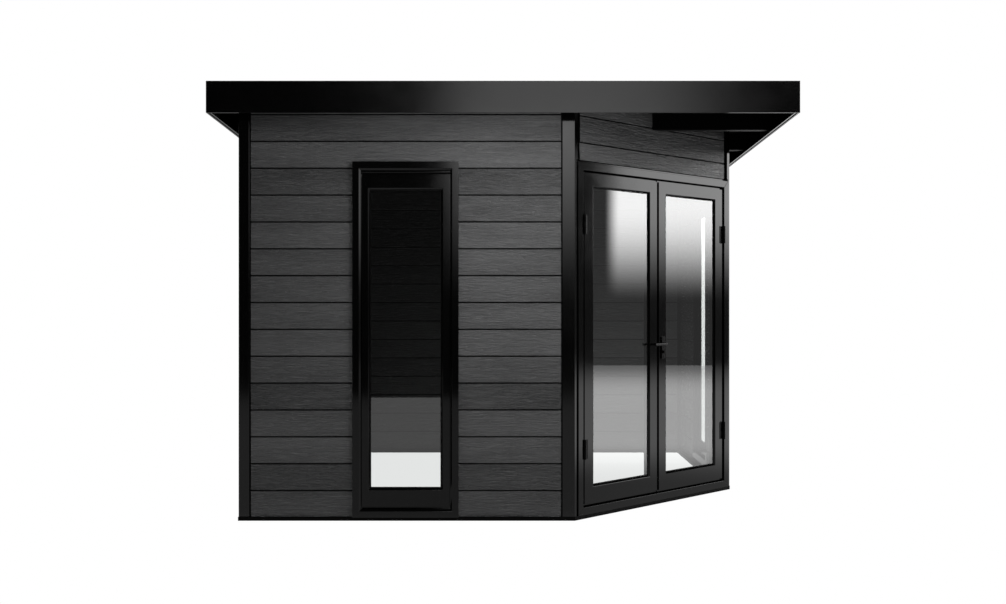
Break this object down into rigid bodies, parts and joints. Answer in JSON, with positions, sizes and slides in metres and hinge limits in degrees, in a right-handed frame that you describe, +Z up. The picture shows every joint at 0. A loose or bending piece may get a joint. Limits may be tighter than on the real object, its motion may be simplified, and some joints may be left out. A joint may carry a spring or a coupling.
{
  "type": "garden house",
  "caption": "Five-sided garden house with boarded walls, a glazed double door across the cut corner, tall windows and a flat overhanging roof.",
  "frame": {"origin": "on the ground, under the middle of the square plan and of the roof", "axes": "+Z up, +X to the right seen from the front, +Y towards the back; the cut corner with the door faces +X and -Y"},
  "size_m": [3.24, 3.24, 2.426],
  "materials": {
    "boards": "dark grey wood-plastic composite boards, brushed grain, matt",
    "post_metal": "near-black powder coat, satin",
    "frame_metal": "dark anthracite powder coat, satin",
    "fascia_metal": "black powder coat, satin",
    "roof_sheet": "black sheet, matt",
    "beam_metal": "black powder coat, satin",
    "clear_glass": "clear glazing",
    "fittings_metal": "black, satin"
  },
  "bodies": {
    "house": {"base_rail_front": "post_metal", "base_rail_door": "post_metal", "base_rail_right": "post_metal", "base_rail_back": "post_metal", "base_rail_left": "post_metal", "post_front_left": "post_metal", "post_back_left": "post_metal", "post_back_right": "post_metal", "post_front_door": "post_metal", "post_right_door": "post_metal", "front_wall_left": "boards", "front_wall_right": "boards", "front_wall_over_window": "boards", "right_wall_front": "boards", "right_wall_back": "boards", "right_wall_over_window": "boards", "back_wall": "boards", "left_wall": "boards", "over_door_wall": "boards", "front_window_frame": "frame_metal", "front_window_sash": "frame_metal", "front_window_glass": "clear_glass", "right_window_frame": "frame_metal", "right_window_sash": "frame_metal", "right_window_glass": "clear_glass", "door_threshold": "frame_metal", "door_jamb_left": "frame_metal", "door_jamb_right": "frame_metal", "door_head": "frame_metal", "left_hinges_frame_side": "fittings_metal", "right_hinges_frame_side": "fittings_metal", "roof_deck": "roof_sheet", "roof_beams": "beam_metal", "fascia_front": "fascia_metal", "fascia_back": "fascia_metal", "fascia_left": "fascia_metal", "fascia_right": "fascia_metal"},
    "left_door": {"left_door_leaf": "frame_metal", "left_door_glass": "clear_glass", "left_hinges_leaf_side": "fittings_metal"},
    "right_door": {"right_door_leaf": "frame_metal", "right_door_glass": "clear_glass", "right_hinges_leaf_side": "fittings_metal", "handle_plates": "fittings_metal"},
    "lever": {"door_lever": "fittings_metal"}
  },
  "joints": [
    {"name": "right_door_swing", "type": "hinge", "parent": "house", "child": "right_door", "pos_m": [1.4301, -0.46187, 1], "axis": [0, 0, 1], "range_deg": [0, 100]},
    {"name": "left_door_swing", "type": "hinge", "parent": "house", "child": "left_door", "pos_m": [0.46187, -1.4301, 1], "axis": [0, 0, -1], "range_deg": [0, 100]},
    {"name": "lever_turn", "type": "hinge", "parent": "right_door", "child": "lever", "pos_m": [0.97038, -0.90462, 0.964], "axis": [0.7071, -0.7071, 0], "range_deg": [0, 40], "stiffness_Nm_per_rad": 1, "springref_deg": -17.19}
  ],
  "couplings": [
    {"joint": "left_door_swing", "follows": "right_door_swing", "ratio": 1}
  ]
}
